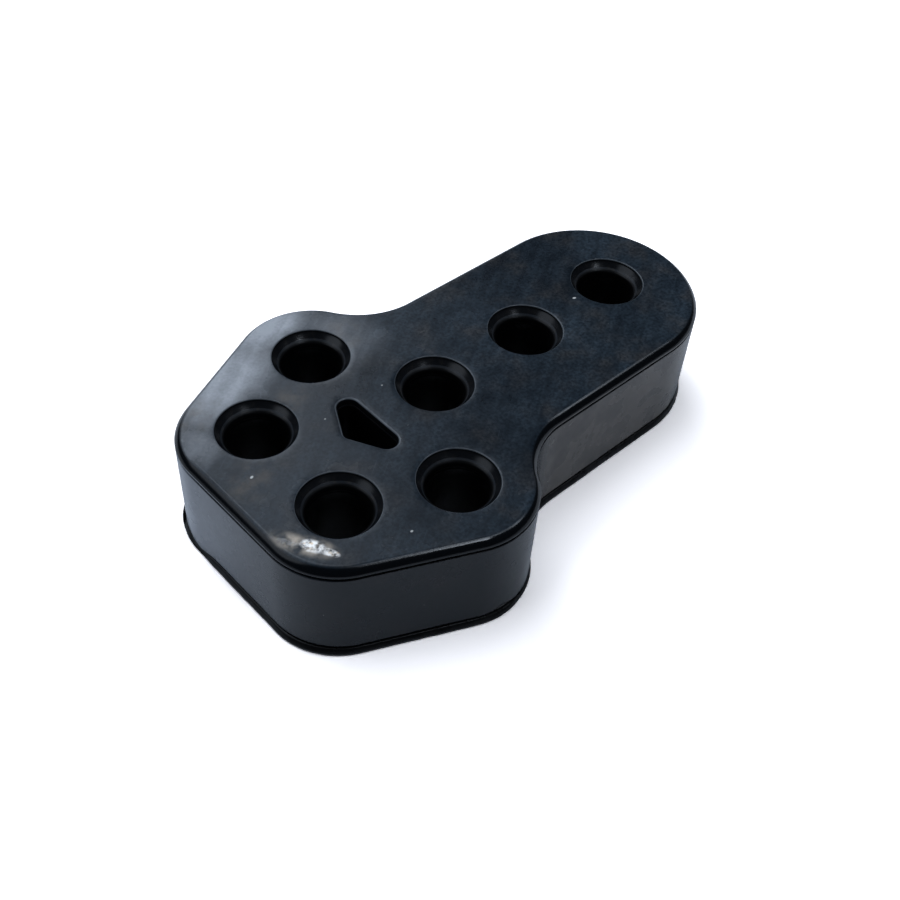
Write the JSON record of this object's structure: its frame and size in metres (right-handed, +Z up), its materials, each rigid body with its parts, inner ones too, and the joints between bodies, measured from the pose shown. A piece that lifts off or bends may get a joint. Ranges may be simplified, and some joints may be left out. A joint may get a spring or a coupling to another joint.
{
  "type": "exhaust hanger bushing",
  "caption": "Flat block of black rubber with a round-ended tongue and a wider head, bored right through for hanger rods, used to hang an exhaust pipe under a car.",
  "frame": {"origin": "centre of the bottom face's bounding box, on the surface that the block rests on", "axes": "+X along the tongue towards its round end, +Y across the block, +Z up through the rod holes"},
  "size_m": [0.1178, 0.074, 0.0242],
  "materials": {
    "rubber": "moulded, satin with a dull bloom"
  },
  "bodies": {
    "root": {"hanger_bushing": "rubber"}
  },
  "joints": []
}
